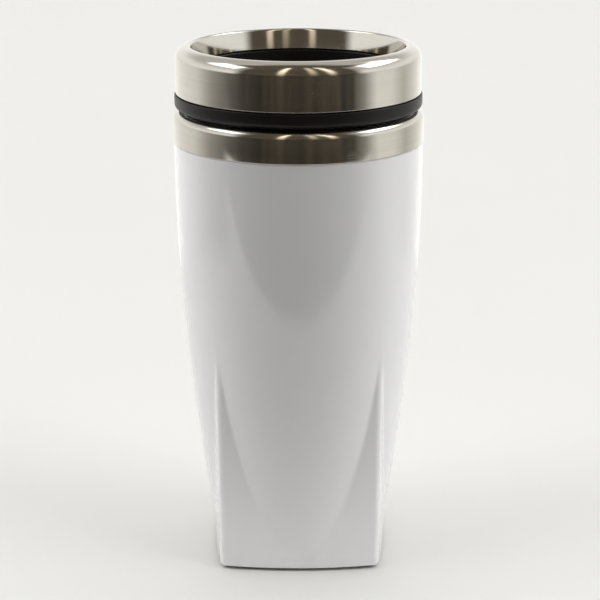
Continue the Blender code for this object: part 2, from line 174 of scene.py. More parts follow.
HEAD_SHY = 0.01              # keeps the head's ends and lower face off the post's
HEAD_DROP = 0.001
HEAD_TAPER = 0.6             # height of the head's sloping lower part
POCKET_RUNOUT = 1.0
SLIDER_TRAVEL = 14.5
RAIL_GAP = 0.4
RAIL_WIDTH = 1.6
RAIL_HEIGHT = 1.6
RAIL_FRONT = -22.0
RAIL_CORNER = 0.75
RAIL_ROOT = 0.6              # how deep the rails are sunk into the deck
RAIL_CROWN = 0.6

# Camera: metres, degrees and millimetres of lens
CAMERA_PLACE = (0.00037, -0.600, 0.26774)
CAMERA_PITCH = 16.631
CAMERA_ROLL = -0.149
CAMERA_LENS = 108.715
CAMERA_SENSOR = 36.0
CAMERA_NEAR = 0.01

# Azimuths below are degrees from the front, positive towards +X. A sector is given by its
# middle azimuth, its inner half width and the outer one, where it has faded out.

# Floor: metres and linear colours
FLOOR_HALF = 6.0
FLOOR_DROP = 0.0002
FLOOR_PALE = (0.765, 0.76, 0.735)
FLOOR_PALER = (0.785, 0.78, 0.755)
FLOOR_PAINTED_SHADE = (0.04, 0.035, 0.03)           # painted shade: soft rays see the floor this dark towards the dark room
FLOOR_SOFT_EDGE = (0.06, 0.15)             # distances over which it turns that dark
FLOOR_FRONT = (0.0, 62.0, 72.0)
FLOOR_FRONT_EDGE = (0.235, 0.25)           # where mirror rays start to see the painted reflection, in front
FLOOR_SIDE_EDGE = (0.33, 0.42)             # and elsewhere
FLOOR_CLEAR = 0.0006                       # shorter rays pass, so that light gets under the pad

# Light: linear colours. A rise is the upward part of a direction, 0 level and 1 overhead.
BACKDROP = (0.86, 0.86, 0.825)             # what the camera sees
SIDE_LIGHT = (0.90, 0.90, 0.90)            # from here to TOP_LIGHT, what soft rays see
ROOM_LIGHT = (0.012, 0.011, 0.010)
SOFT_ROOM = (-3.0, 46.0, 58.0)
SOFT_PANELS = ((69.0, 12.0, 25.0, 2.6), (-75.0, 12.0, 25.0, 2.2))      # sector, strength
TOP_RISE = (0.70, 0.92)
TOP_LIGHT = (1.5, 1.5, 1.5)
# What mirror rays see: azimuths and colours near the horizon, then what lies above
HORIZON = ((-150.0, (1.05, 1.04, 1.0)), (-107.0, (0.80, 0.79, 0.74)), (-86.0, (0.30, 0.28, 0.25)),
           (-64.0, (0.050, 0.037, 0.023)), (50.0, (0.058, 0.043, 0.026)), (62.0, (0.25, 0.24, 0.20)),
           (76.0, (0.88, 0.88, 0.83)), (94.0, (0.85, 0.84, 0.78)), (112.0, (0.50, 0.50, 0.45)),
           (150.0, (1.12, 1.10, 1.05)))
HORIZON_BANDS = (48.0, 60.0)               # half widths of the sector with darker bands
HORIZON_BAND = (0.004, 0.003, 0.002)
UPPER_RISE = (-0.05, 0.12)
UPPER_PALE, UPPER_DULL = (1.12, 1.11, 1.07), (0.66, 0.64, 0.60)
UPPER_DULL_RISE = (0.25, 0.60)
MIRROR_ROOM = (0.0, 52.0, 66.0)
MIRROR_ROOM_COLOUR = (0.11, 0.092, 0.07)
OVERHEAD, OVERHEAD_RISE = (0.26, 0.24, 0.20), (0.93, 0.985)
CEILING, CEILING_RISE = (0.12, 0.10, 0.075), (0.74, 0.86)              # in front only
CEILING_EDGE = (0.15, -0.05)
# Boxes: middle azimuth, half width, lowest rise, strength. Lamps: middle azimuth, strength.
SOFT_BOXES = ((-90.0, 24.0, 0.54, 3.4), (104.0, 30.0, 0.50, 3.8))
BOX_EDGE, BOX_FADE, BOX_TOP = 5.0, 0.10, (0.76, 0.84)
LAMPS = ((-16.0, 2.4), (14.0, 1.2), (32.0, 2.8))
LAMP_WIDTH, LAMP_RISE, LAMP_TOP = (1.5, 5.0), (-0.1, 0.85), (0.93, 0.96)

# Boxes of the CAD nodes that were asked for, by node
SPANS = {}


def span(node):
    """Lowest and highest corner of a CAD node, in millimetres."""
    if node not in SPANS:
        low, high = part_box(node)
        SPANS[node] = (low / MM, high / MM)
    return SPANS[node]


# ---------------------------------------------------------------- outlines and meshes

def unit(a, b):
    """Direction and length of a step in an outline's plane."""
    length = math.hypot(a, b)
    return a / length, b / length, length


def fillet(corners, steps=6):
    """Closed outline from (a, b, radius) corners, each rounded by its radius."""
    outline = []
    for index, (a, b, radius) in enumerate(corners):
        if radius == 0.0:
            outline.append((a, b))
            continue
        before, after = corners[index - 1], corners[(index + 1) % len(corners)]
        back_a, back_b, back_length = unit(before[0] - a, before[1] - b)
        on_a, on_b, on_length = unit(after[0] - a, after[1] - b)
        cosine = max(-1.0, min(1.0, back_a * on_a + back_b * on_b))
        half_opening = math.acos(cosine) / 2.0
        reach = min(radius / math.tan(half_opening), FILLET_REACH * min(back_length, on_length))
        round_radius = reach * math.tan(half_opening)
        out = round_radius / math.sin(half_opening) / math.hypot(back_a + on_a, back_b + on_b)
        middle_a, middle_b = a + (back_a + on_a) * out, b + (back_b + on_b) * out
        start = math.atan2(b + back_b * reach - middle_b, a + back_a * reach - middle_a)
        end = math.atan2(b + on_b * reach - middle_b, a + on_a * reach - middle_a)
        sweep = (end - start + math.pi) % math.tau - math.pi
        for step in range(steps + 1):
            angle = start + sweep * step / steps
            outline.append((middle_a + round_radius * math.cos(angle),
                            middle_b + round_radius * math.sin(angle)))
    return outline


def skin(name, rings, ends):
    """Mesh over rings of (x, y, z) points in mm; ends is "loop", "caps" or "points"."""
    vertices, starts, faces = [], [], []
    for ring in rings:
        starts.append(len(vertices))
        vertices += [(x * MM, y * MM, z * MM) for x, y, z in ring]
    pairs = list(zip(range(len(rings)), range(1, len(rings))))
    if ends == "loop":
        pairs.append((len(rings) - 1, 0))
    for lower, upper in pairs:
        low_count, high_count = len(rings[lower]), len(rings[upper])
        for index in range(max(low_count, high_count)):
            after = (index + 1) % max(low_count, high_count)
            if low_count > 1 and high_count > 1:
                faces.append((starts[lower] + index, starts[lower] + after,
                              starts[upper] + after, starts[upper] + index))
            elif high_count > 1:
                faces.append((starts[lower], starts[upper] + after, starts[upper] + index))
            elif low_count > 1:
                faces.append((starts[lower] + index, starts[lower] + after, starts[upper]))
    if ends == "caps":
        faces.append(tuple(reversed(range(len(rings[0])))))
        faces.append(tuple(starts[-1] + index for index in range(len(rings[-1]))))
    mesh = bpy.data.meshes.new(name)
    mesh.from_pydata(vertices, [], faces)
    return mesh


def spin(name, outline):
    """Turn a closed (radius, height) outline round the mug's axis."""
    area = sum(a[0] * b[1] - b[0] * a[1] for a, b in zip(outline, outline[1:] + outline[:1]))
    if area < 0.0:
        outline = outline[::-1]
    axis_points = [index for index, point in enumerate(outline) if point[0] == 0.0]
    if axis_points:
        first = next(index for index in axis_points if (index - 1) % len(outline) in axis_points)
        outline = outline[first:] + outline[:first]
    rings = []
    for radius, height in outline:
        if radius == 0.0:
            rings.append([(0.0, 0.0, height)])
            continue
        turns = [math.tau * step / AROUND for step in range(AROUND)]
        rings.append([(radius * math.cos(turn), radius * math.sin(turn), height) for turn in turns])
    return skin(name, rings, "points" if axis_points else "loop")


def stack(name, levels):
    """Loft (height, [(x, y), ...]) levels, lowest first, with flat ends."""
    return skin(name, [[(x, y, height) for x, y in outline] for height, outline in levels], "caps")


def crowned(outline_at, bottom, top, edge, steps=4):
    """Levels of a block whose top edge is rounded; outline_at(inset) gives its outline."""
    levels = [(bottom, outline_at(0.0))]
    for step in range(steps + 1):
        angle = math.pi / 2.0 * step / steps
        inset = edge * (1.0 - math.cos(angle))
        levels.append((top - edge + edge * math.sin(angle), outline_at(inset)))
    return levels


def flared(outline_at, bottom, top, chamfer):
    """Levels of a cutter that opens a hole and chamfers its upper edge at top."""
    return [(bottom, outline_at(0.0)), (top - chamfer, outline_at(0.0)),
            (top, outline_at(chamfer)), (top + CUT_ABOVE, outline_at(chamfer))]


def rounded_rectangle(half_x, middle_y, half_y, corner, steps=5):
    """Counter-clockwise outline of a rectangle with round corners."""
    outline = []
    quarters = ((1, -1, -90.0), (1, 1, 0.0), (-1, 1, 90.0), (-1, -1, 180.0))
    for side_x, side_y, start in quarters:
        for step in range(steps + 1):
            angle = math.radians(start + 90.0 * step / steps)
            outline.append((side_x * (half_x - corner) + corner * math.cos(angle),
                            middle_y + side_y * (half_y - corner) + corner * math.sin(angle)))
    return outline


def curved_slot(margin, steps=14, end_steps=10):
    """Outline of the round-ended drinking hole that curves about the axis, grown by margin."""
    half_width = HOLE_WIDTH / 2.0 + margin
    spread = math.radians(HOLE_SPREAD)
    outline = []
    for side in (1.0, -1.0):
        radius = HOLE_MIDDLE + side * half_width
        for step in range(steps + 1):
            angle = side * spread * (2.0 * step / steps - 1.0)
            outline.append((radius * math.sin(angle), -radius * math.cos(angle)))
        for step in range(1, end_steps):
            turn = math.pi * step / end_steps
            reach = HOLE_MIDDLE + side * half_width * math.cos(turn)
            along = side * half_width * math.sin(turn)
            angle = side * spread
            outline.append((reach * math.sin(angle) + along * math.cos(angle),
                            -reach * math.cos(angle) + along * math.sin(angle)))
    return outline


def boolean(mesh, tools):
    """Return the mesh after each (operation, tool mesh), with exact Booleans."""
    base = bpy.data.objects.new("base", mesh)
    bpy.context.scene.collection.objects.link(base)
    helpers = []
    for operation, tool_mesh in tools:
        tool = bpy.data.objects.new("tool", tool_mesh)
        bpy.context.scene.collection.objects.link(tool)
        modifier = base.modifiers.new("cut", "BOOLEAN")
        modifier.operation = operation
        modifier.solver = "EXACT"
        modifier.object = tool
        helpers.append(tool)
    graph = bpy.context.evaluated_depsgraph_get()
    result = bpy.data.meshes.new_from_object(base.evaluated_get(graph))
    for helper in [base, *helpers]:
        bpy.data.objects.remove(helper, do_unlink=True)
    return result


def show(name, mesh, material, body, nodes, crease_degrees=CREASE_DEGREES):
    """Put a finished mesh into the scene in place of its CAD nodes."""
    mesh.materials.clear()
    mesh.materials.append(material)
    mesh.shade_smooth()
    mesh.set_sharp_from_angle(angle=math.radians(crease_degrees))
    piece = bpy.data.objects.new(name, mesh)
    bpy.context.scene.collection.objects.link(piece)
    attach(piece, body)
    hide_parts(*nodes)
    return piece


# ---------------------------------------------------------------- shell and foot

def belly(height):
    """Radius of the round body at a height: wide at the top, drawn in to the foot."""
    widest = span("outer_shell")[1].x
    depth = max(0.0, 1.0 - height / BELLY_TOP)
    return widest - BELLY_TAPER * depth ** BELLY_POWER


def foot_arcs(half, corner):
    """Face radius, its setback and the corner's place on the diagonal, for a bowed square."""
    face_radius = (half ** 2 + FOOT_BULGE ** 2) / (2.0 * FOOT_BULGE)
    setback = face_radius - half - FOOT_BULGE
    reach = 2.0 * (face_radius - corner) ** 2 - setback ** 2
    return face_radius, setback, (math.sqrt(reach) - setback) / 2.0


def foot_reach(angle, height, inset):
    """Distance from the axis to the square foot's face or corner in one direction."""
    corner = max(SMALLEST_CORNER, FOOT_CORNER - inset)
    face_radius, setback, corner_place = foot_arcs(FOOT_HALF + FOOT_DRAFT * height - inset, corner)
    turn = math.atan2(corner_place, corner_place + setback)
    tangent = math.atan2(face_radius * math.sin(turn), face_radius * math.cos(turn) - setback)
    from_face = abs((angle + math.pi / 4.0) % (math.pi / 2.0) - math.pi / 4.0)
    if from_face < tangent:
        towards = -setback * math.cos(from_face)
        return towards + math.sqrt(towards ** 2 - setback ** 2 + face_radius ** 2)
    towards = corner_place * (math.cos(from_face) + math.sin(from_face))
    return towards + math.sqrt(max(0.0, towards ** 2 - 2.0 * corner_place ** 2 + corner ** 2))


def shell_reach(angle, height, inset):
    """Distance from the axis to the shell: the outer one of round body and square foot."""
    around = belly(height) - inset
    if height >= FOOT_FADE:
        return around
    square = foot_reach(angle, height, inset)
    softness = CREASE_SOFTNESS * min(1.0, (FOOT_FADE - height) / CREASE_FADE)
    return (around + square + math.sqrt((around - square) ** 2 + softness ** 2)) / 2.0


def foot_angles(count):
    """Directions round the axis, set closer together at the foot's corners."""
    turns = [math.tau * step / count for step in range(count)]
    return [turn + CORNER_CROWDING * math.sin(4.0 * turn) for turn in turns]


def polar_ring(reaches, angles, height):
    """Ring of points at one height, from a distance for each direction."""
    return [(reach * math.cos(angle), reach * math.sin(angle), height)
            for reach, angle in zip(reaches, angles)]


def shell_levels():
    """(height, inset) up the shell's outside, from its bottom edge to the collar."""
    low = span("outer_shell")[0].z
    shoulder = span("steel_collar")[0].z - COLLAR_REST
    levels = []
    for step in range(FOOT_ROUND_STEPS + 1):
        angle = math.pi / 2.0 * step / FOOT_ROUND_STEPS
        levels.append((low + FOOT_ROUND * (1.0 - math.cos(angle)), FOOT_ROUND * (1.0 - math.sin(angle))))
    height = low + FOOT_ROUND
    while height < shoulder - SHELL_SHOULDER - LAST_LEVEL:
        height += FOOT_LEVEL if height < FOOT_FADE else BODY_LEVEL
        levels.append((height, 0.0))
    for step in range(SHOULDER_STEPS + 1):
        angle = math.pi / 2.0 * step / SHOULDER_STEPS
        levels.append((shoulder - SHELL_SHOULDER * (1.0 - math.sin(angle)),
                       SHELL_SHOULDER * (1.0 - math.cos(angle))))
    return levels


def make_shell(material):
    """Round body and square foot as one skin with a real wall, open under the foot."""
    low, high = span("outer_shell")
    angles = foot_angles(SHELL_TURNS)
    rings = []
    for height, inset in shell_levels():
        reaches = [shell_reach(angle, height, inset) for angle in angles]
        rings.append(polar_ring(reaches, angles, height))
    shoulder = rings[-1][0][2]
    tongue = span("steel_collar")[1].x - COLLAR_WALL - GAP
    for radius, height in ((tongue, shoulder), (tongue, high.z), (high.x - SHELL_WALL, high.z)):
        rings.append(polar_ring([radius] * len(angles), angles, height))
    for step in range(INNER_LEVELS + 1):
        height = high.z - INNER_START + (low.z - high.z + INNER_START) * step / INNER_LEVELS
        reaches = [shell_reach(angle, height, SHELL_WALL) for angle in angles]
        rings.append(polar_ring(reaches, angles, height))
    mesh = skin("shell_skin", rings, "loop")
    show("shell_skin", mesh, material, "mug", ["outer_shell"])


def make_pad(material):
    """Non-slip pad: a rounded rim, and square grooves moulded into its underside."""
    low, high = span("base_pad")
    lip = low.z + PAD_LIP
    groove = low.z + PAD_GROOVE
    levels = [(groove, FOOT_HALF)]
    for number in range(PAD_RIBS):
        outer = PAD_FIRST_RIB - PAD_PITCH * number
        levels += [(groove, outer + PAD_RIB_ROOT), (low.z, outer + PAD_RIB_TOP)]
        levels += [(low.z, outer - PAD_RIB_TOP), (groove, outer - PAD_RIB_ROOT)]
    levels[-1:] = [(low.z + rise, PAD_INSET + inset) for rise, inset in PAD_EDGE]
    levels += [(lip, PAD_INSET), (lip, SHELL_WALL + GAP), (high.z, SHELL_WALL + GAP)]
    angles = foot_angles(PAD_TURNS)
    reaches = [foot_reach(angle, 0.0, PAD_INSET) for angle in angles]
    rings = []
    for height, inset in levels:
        share = max(PAD_CENTRE, (FOOT_HALF - inset) / (FOOT_HALF - PAD_INSET))
        rings.append(polar_ring([reach * share for reach in reaches], angles, height))
    show("foot_pad", skin("foot_pad", rings, "caps"), material, "mug", ["base_pad"])


# ---------------------------------------------------------------- steel pieces

def make_collar(material):
    """Steel band round the shell's top with a rounded shoulder."""
    low, high = span("steel_collar")
    ledge = span("inner_liner")[1].z - COLLAR_TUCK
    inner = high.x - COLLAR_WALL
    corners = [(inner, low.z, FINE), (high.x, low.z, SOFT), (high.x, high.z, COLLAR_SHOULDER)]
    corners += [(COLLAR_LIP, high.z, COLLAR_LIP_ROUND), (COLLAR_LIP, ledge, FINE), (inner, ledge, SMALL)]
    mesh = spin("collar_band", fillet(corners))
    show("collar_band", mesh, material, "mug", ["steel_collar"])


def liner_bore(height):
    """Inside radius of the liner: it follows the shell, then opens into the neck."""
    follow = belly(height) - LINER_SPACING
    neck_bottom = span("inner_liner")[1].z - NECK_DEPTH
    share = min(1.0, max(0.0, (height - neck_bottom + NECK_BLEND) / NECK_BLEND))
    smooth = share * share * (3.0 - 2.0 * share)
    return follow + (NECK_RADIUS - follow) * smooth


def make_liner(material):
    """Drawn steel cup with a rolled bead at its mouth."""
    low, high = span("inner_liner")
    floor = low.z + LINER_WALL
    wall_start = floor + LINER_KNEE
    wall = high.z - BEAD_DEPTH - wall_start
    rise = [wall_start + wall * step / LINER_LEVELS for step in range(LINER_LEVELS + 1)]
    knee = liner_bore(wall_start)
    inside = [(0.0, floor, 0.0), (knee, floor, LINER_KNEE)]
    inside += [(liner_bore(height), height, 0.0) for height in rise]
    bead = [(NECK_RADIUS, high.z, BEAD_ROUND), (high.x, high.z, BEAD_ROUND)]
    bead.append((high.x, high.z - BEAD_DEPTH, SMALL))
    outside = [(liner_bore(height) + LINER_WALL, height, 0.0) for height in reversed(rise)]
    outside += [(knee + LINER_WALL, low.z, LINER_KNEE), (0.0, low.z, 0.0)]
    mesh = spin("liner_cup", fillet(inside + bead + outside))
    show("liner_cup", mesh, material, "mug", ["inner_liner"])


def make_ring(material):
    """Steel sheet rolled over the lid's rim, with a flared bore."""
    low, high = span("lid_ring")
    bore_bottom = high.z - RING_DEPTH
    mouth = RING_BORE + RING_FLARE
    inner_shoulder = RING_SHOULDER - RING_SHEET - RING_SLACK
    inner, under = high.x - RING_SHEET, high.z - RING_SHEET
    corners = [(inner, low.z, SMALL), (high.x, low.z, SOFT), (high.x, high.z, RING_SHOULDER)]
    corners += [(mouth, high.z, RING_CREST), (RING_BORE, bore_bottom, 0.25)]
    corners += [(RING_BORE + RING_SHEET, bore_bottom, SMALL), (mouth + RING_MOUTH_WALL, under, 0.4)]
    corners += [(inner, under, inner_shoulder)]
    mesh = spin("lid_rim", fillet(corners, steps=RING_STEPS))
    show("lid_rim", mesh, material, "lid", ["lid_ring"])


# ---------------------------------------------------------------- lid

def deck_top():
    """Height of the lid's deck, just under the slider's seal."""
    return span("slide_seal")[0].z - GAP


def lid_outline():
    """Half section of the lid's moulding: deck, recess, hoop, flange, groove and skirt."""
    low, high = span("lid_body")
    seat = span("inner_liner")[1].z + GAP
    flange_top = span("lid_ring")[0].z - GAP
    flange_bottom = flange_top - FLANGE_HEIGHT
    step_top = span("lid_ring")[1].z - RING_DEPTH - GAP
    hoop = HOOP_BORE + HOOP_WALL
    groove_low, groove_high = [corner.z for corner in span("lid_gasket")]
    groove = SKIRT_RADIUS - GROOVE_DEPTH
    bore = SKIRT_RADIUS - SKIRT_WALL
    top = deck_top()
    corners = [(0.0, top, 0.0), (RECESS_RADIUS, top, 1.2), (RECESS_RADIUS, step_top, SOFT)]
    corners += [(HOOP_BORE, step_top, FINE), (HOOP_BORE, high.z, SMALL)]
    corners += [(hoop, high.z, SMALL), (hoop, flange_top, SMALL)]
    corners += [(high.x, flange_top, 0.35), (high.x, flange_bottom, 1.8)]
    corners += [(COLLAR_LIP + SEAT_STEP, flange_bottom, FINE)]
    corners += [(COLLAR_LIP, seat, 0.15), (SKIRT_RADIUS, seat, SOFT)]
    corners += [(SKIRT_RADIUS, groove_high + GAP, 0.15), (groove, groove_high + GAP, FINE)]
    corners += [(groove, groove_low - GAP, FINE), (SKIRT_RADIUS, groove_low - GAP, 0.15)]
    corners += [(SKIRT_RADIUS, low.z, 0.8), (bore, low.z, 0.4), (bore, flange_bottom + PLUG_TOP, 2.0)]
    corners += [(RECESS_RADIUS - DECK_RUNOUT, top - DECK_THICK, 1.5), (0.0, top - DECK_THICK, 0.0)]
    return fillet(corners)


def round_hole(margin, steps=40):
    """Outline of the vent hole, grown by margin."""
    turns = [math.tau * step / steps for step in range(steps)]
    radius = VENT_RADIUS + margin
    return [(radius * math.cos(turn), VENT_PLACE + radius * math.sin(turn)) for turn in turns]


def post_slot(margin):
    """Outline of the slot that the slider's post runs in, grown by margin."""
    front = POST_PLACE - POST_HALF_Y - GAP
    rear = POST_PLACE + POST_HALF_Y + GAP + SLIDER_TRAVEL
    return rounded_rectangle(POST_HALF_X + GAP + margin, (front + rear) / 2.0,
                             (rear - front) / 2.0 + margin, SLOT_CORNER + margin)


def make_lid(material):
    """The lid's black moulding with its holes, slider slot and guide rails."""
    top = deck_top()
    below = top - DECK_THICK - CUT_BELOW
    tools = [("DIFFERENCE", stack("hole", flared(curved_slot, below, top, HOLE_CHAMFER)))]
    tools.append(("DIFFERENCE", stack("vent", flared(round_hole, below, top, VENT_CHAMFER))))
    tools.append(("DIFFERENCE", stack("slot", flared(post_slot, below, top, SLOT_CHAMFER))))
    rail_x = span("slide_button")[1].x + RAIL_GAP + RAIL_WIDTH / 2.0
    rail_rear = span("slide_button")[1].y + SLIDER_TRAVEL
    rail_middle, rail_half = (RAIL_FRONT + rail_rear) / 2.0, (rail_rear - RAIL_FRONT) / 2.0
    for side in (-1.0, 1.0):
        def rail(inset, side=side):
            half = RAIL_WIDTH / 2.0 - inset
            outline = rounded_rectangle(half, rail_middle, rail_half - inset, RAIL_CORNER - inset)
            return [(x + side * rail_x, y) for x, y in outline]
        levels = crowned(rail, top - RAIL_ROOT, top + RAIL_HEIGHT, RAIL_CROWN)
        tools.append(("UNION", stack("rail", levels)))
    mesh = boolean(spin("lid_moulding", lid_outline()), tools)
    show("lid_moulding", mesh, material, "lid", ["lid_body"])


def make_gasket(material):
    """Silicone ring in the skirt's groove, with two soft ribs."""
    low, high = span("lid_gasket")
    inner = SKIRT_RADIUS - GROOVE_DEPTH + GAP
    body = SKIRT_RADIUS + GASKET_PROUD
    corners = [(inner, low.z, SMALL), (body, low.z, 0.25)]
    for rib in GASKET_RIBS:
        foot, crest, crest_end, foot_end = [low.z + rib + rise for rise in GASKET_RIB]
        corners += [(body, foot, SMALL), (high.x, crest, SOFT)]
        corners += [(high.x, crest_end, SOFT), (body, foot_end, SMALL)]
    corners += [(body, high.z, 0.25), (inner, high.z, SMALL)]
    mesh = spin("gasket_ring", fillet(corners, steps=4))
    show("gasket_ring", mesh, material, "lid", ["lid_gasket"], crease_degrees=GASKET_CREASE)


# ---------------------------------------------------------------- slider

def plate_outline(inset, steps=24):
    """Slider plate from above: curved front edge, straight sides, clipped rear corners."""
    low, high = span("slide_button")
    half = high.x - inset
    front = PLATE_FRONT - inset
    rear = high.y - inset
    spread = math.asin(half / front)
    outline = []
    for step in range(steps + 1):
        angle = (spread - PLATE_CORNER / front) * (2.0 * step / steps - 1.0)
        outline.append((front * math.sin(angle), -front * math.cos(angle)))
    side_front = -front * math.cos(spread) + PLATE_CORNER
    outline += [(half, side_front), (half, rear - PLATE_CLIP), (half - PLATE_CLIP, rear)]
    outline += [(PLATE_CLIP - half, rear), (-half, rear - PLATE_CLIP), (-half, side_front)]
    return outline


def make_slider(material):
    """Slider plate with its ribbed thumb rest, snap post and seal pocket."""
    low, high = span("slide_button")
    bottom = span("slide_seal")[0].z
    top = bottom + PLATE_THICK
    middle = (THUMB_FRONT + THUMB_REAR) / 2.0
    half = (THUMB_REAR - THUMB_FRONT) / 2.0

    def rest(inset):
        return rounded_rectangle(THUMB_HALF - inset, middle, half - inset, THUMB_CORNER - inset)

    levels = crowned(rest, top - POST_ROOT, top + THUMB_HEIGHT, THUMB_ROUND)
    tools = [("UNION", stack("rest", levels))]
    for number in range(RIDGE_COUNT):
        place = middle + RIDGE_PITCH * (number - (RIDGE_COUNT - 1) / 2.0)

        def ridge(inset, place=place):
            return rounded_rectangle(THUMB_HALF - RIDGE_INSET - inset, place,
                                     RIDGE_WIDTH / 2.0 - inset, RIDGE_CORNER - inset)

        foot = top + THUMB_HEIGHT
        levels = crowned(ridge, foot - RIDGE_ROOT, foot + RIDGE_HEIGHT, RIDGE_CROWN)
        tools.append(("UNION", stack("ridge", levels)))

    def head(inset):
        return rounded_rectangle(POST_HALF_X + HEAD_REACH - inset, POST_PLACE,
                                 POST_HALF_Y - HEAD_SHY - inset, POST_CORNER)

    post = rounded_rectangle(POST_HALF_X, POST_PLACE, POST_HALF_Y, POST_CORNER)
    tools.append(("UNION", stack("post", [(low.z, post), (bottom + POST_ROOT, post)])))
    head_top = span("slide_clip")[0].z - GAP
    head_levels = [(low.z - HEAD_DROP, head(HEAD_REACH)), (low.z + HEAD_TAPER, head(0.0))]
    tools.append(("UNION", stack("head", [*head_levels, (head_top, head(0.0))])))
    pocket_top = span("slide_seal")[1].z + GAP
    pocket = curved_slot(POCKET_MARGIN)
    levels = [(bottom - POCKET_RUNOUT, pocket), (pocket_top, pocket)]
    tools.append(("DIFFERENCE", stack("pocket", levels)))
    mesh = boolean(stack("slider_thumb_piece", crowned(plate_outline, bottom, top, PLATE_EDGE)), tools)
    show("slider_thumb_piece", mesh, material, "slider", ["slide_button"])


# ---------------------------------------------------------------- materials

class Nodes:
    """Short ways to add the shader nodes used here to a tree."""

    def __init__(self, tree):
        self.tree = tree

    def add(self, kind, inputs=None, **settings):
        """New node with settings; inputs maps a socket's name or number to a value or socket."""
        node = self.tree.nodes.new(kind)
        for name, value in settings.items():
            setattr(node, name, value)
        for key, value in (inputs or {}).items():
            self.feed(node.inputs[key], value)
        return node

    def feed(self, socket, value):
        """Link a socket to another, or set its value."""
        if isinstance(value, bpy.types.NodeSocket):
            self.tree.links.new(value, socket)
        else:
            socket.default_value = value

    def math(self, operation, first, second=0.0):
        """Result of a Math node."""
        return self.add("ShaderNodeMath", {0: first, 1: second}, operation=operation).outputs[0]

    def object_place(self):
        """A point's place in the object's own frame, in metres."""
        return self.add("ShaderNodeTexCoord").outputs["Object"]

    def stretch(self, vector, scale, turn=(0.0, 0.0, 0.0)):
        """The vector turned, then scaled along each axis."""
        inputs = {"Vector": vector, "Scale": scale, "Rotation": turn}
        return self.add("ShaderNodeMapping", inputs).outputs[0]

    def noise(self, vector, scale, detail=3.0, roughness=0.5, distortion=0.0):
        """Noise value from 0 to 1."""
        inputs = {"Vector": vector, "Scale": scale, "Detail": detail, "Roughness": roughness,
                  "Distortion": distortion}
        return self.add("ShaderNodeTexNoise", inputs).outputs[0]

    def remap(self, value, low, high, to_low=0.0, to_high=1.0):
        """The value carried smoothly from one range into another, and held there."""
        inputs = {"Value": value, "From Min": low, "From Max": high, "To Min": to_low, "To Max": to_high}
        return self.add("ShaderNodeMapRange", inputs, interpolation_type="SMOOTHSTEP").outputs[0]

    def blend(self, factor, first, second):
        """Colour between two colours."""
        node = self.add("ShaderNodeMix", data_type="RGBA")
        self.feed(node.inputs["Factor"], factor)
        for socket, value in ((node.inputs[6], first), (node.inputs[7], second)):
            self.feed(socket, value if isinstance(value, bpy.types.NodeSocket) else (*value, 1.0))
        return node.outputs[2]

    def scratches(self, place, scale, turn, width, share):
        """Mask of fine broken lines: where stretched noise crosses its middle."""
        lines = self.noise(self.stretch(place, scale, turn), 1.0, detail=1.0)
        distance = self.math("ABSOLUTE", self.math("SUBTRACT", lines, 0.5))
        line = self.remap(distance, 0.0, width, 1.0, 0.0)
        patch = self.noise(self.stretch(place, (60.0, 60.0, 60.0), turn), 1.0, detail=2.0)
        return self.math("MULTIPLY", line, self.remap(patch, 1.0 - share, 1.0 - share + 0.12))

    def specks(self, place, scale, size, share):
        """Mask of small sparse dots."""
        cells = self.add("ShaderNodeTexVoronoi", {"Vector": place, "Scale": scale})
        dot = self.remap(cells.outputs["Distance"], size * 0.6, size, 1.0, 0.0)
        chance = self.add("ShaderNodeSeparateColor", {0: cells.outputs["Color"]}).outputs[0]
        return self.math("MULTIPLY", dot, self.math("LESS_THAN", chance, share))


class Paint(Nodes):
    """A Principled material."""

    def __init__(self, name):
        self.material = bpy.data.materials.new(name)
        self.material.use_nodes = True
        super().__init__(self.material.node_tree)
        self.shader = self.tree.nodes["Principled BSDF"]

    def bump(self, height, distance):
        """Bump the surface by a height from 0 to 1, distance metres high."""
        node = self.add("ShaderNodeBump", {"Height": height, "Distance": distance, "Strength": 1.0})
        self.feed(self.shader.inputs["Normal"], node.outputs[0])

    def surface(self, **inputs):
        """Set the shader's inputs, named with underscores for spaces."""
        for name, value in inputs.items():
            socket = self.shader.inputs[name.replace("_", " ")]
            colour = isinstance(value, tuple) and len(value) == 3
            self.feed(socket, (*value, 1.0) if colour else value)


def gloss_white():
    """Glossy white moulded plastic with faint orange peel, scuffs and a few specks."""
    paint = Paint("gloss_white")
    place = paint.object_place()
    cloud = paint.noise(place, 22.0, detail=4.0)
    colour = paint.blend(cloud, (0.835, 0.835, 0.845), (0.87, 0.87, 0.878))
    height = paint.add("ShaderNodeSeparateXYZ", {0: place}).outputs[2]
    low_down = paint.remap(height, 0.001, 0.016, 1.0, 0.0)
    grime = paint.math("MULTIPLY", low_down, paint.remap(paint.noise(place, 130.0, detail=5.0), 0.45, 0.75))
    colour = paint.blend(paint.math("MULTIPLY", grime, 0.15), colour, (0.60, 0.57, 0.52))
    colour = paint.blend(paint.math("MULTIPLY", paint.specks(place, 90.0, 0.025, 0.10), 0.5),
                         colour, (0.30, 0.28, 0.26))
    scuffs = paint.scratches(place, (30.0, 30.0, 420.0), (0.5, 0.35, 0.0), 0.012, 0.42)
    fine = paint.scratches(place, (500.0, 500.0, 26.0), (-0.35, 0.3, 0.2), 0.012, 0.40)
    marks = paint.math("MAXIMUM", scuffs, fine)
    smudge = paint.remap(paint.noise(place, 34.0, detail=4.0), 0.4, 0.75)
    rough = paint.math("ADD", paint.math("MULTIPLY", smudge, 0.06), 0.09)
    rough = paint.math("ADD", rough, paint.math("MULTIPLY", marks, 0.12))
    peel = paint.noise(place, 420.0, detail=2.0)
    paint.surface(Base_Color=colour, Roughness=rough, IOR=1.5, Coat_Weight=0.8, Coat_Roughness=0.04)
    height_map = paint.math("SUBTRACT", peel, paint.math("MULTIPLY", marks, 0.6))
    paint.bump(height_map, 0.000012)
    return paint.material


